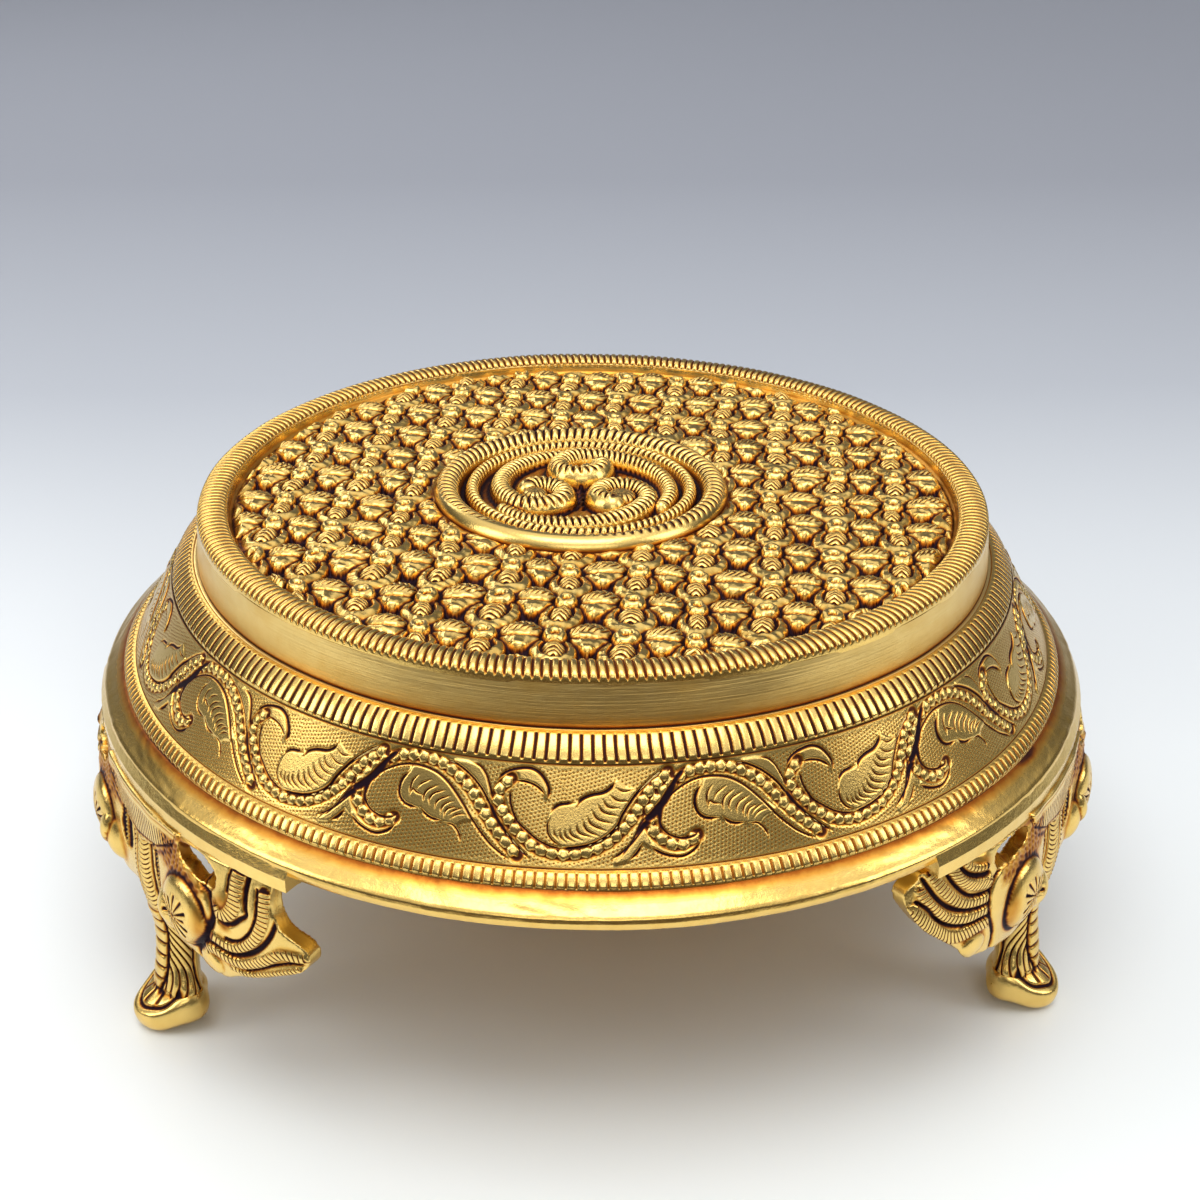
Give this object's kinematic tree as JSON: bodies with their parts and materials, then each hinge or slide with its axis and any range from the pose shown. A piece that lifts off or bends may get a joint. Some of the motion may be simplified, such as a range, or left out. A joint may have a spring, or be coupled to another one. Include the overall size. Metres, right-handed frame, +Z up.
{
  "type": "bajot low table",
  "caption": "Round cast brass pedestal stand with a sunk patterned deck, rope rim, sloping vine frieze and scrolled cabriole legs under a wide flange",
  "frame": {"origin": "on the floor under the middle of the stand's bounding box; the axis of the turned rings is 3.1 mm in front of it, because the back foot reaches further out than the flange does at the front", "axes": "+Z up, -Y towards the viewer of the picture, between the two front legs"},
  "size_m": [0.2024, 0.2062, 0.093],
  "materials": {
    "polished_brass": "polished",
    "chased_brass": "antique",
    "satin_brass": "satin",
    "fastener_brass": "satin"
  },
  "bodies": {
    "root": {"base_ring": "polished_brass", "leg_front_left": "polished_brass", "leg_front_right": "polished_brass", "leg_back": "polished_brass", "frieze_skirt": "chased_brass", "deck_plate": "chased_brass", "medallion": "chased_brass", "drum_ring": "satin_brass", "medallion_washer": "fastener_brass", "medallion_nut": "fastener_brass", "deck_screws": "fastener_brass", "skirt_screws": "fastener_brass", "leg_screws": "fastener_brass", "leg_washers": "fastener_brass"}
  },
  "joints": []
}
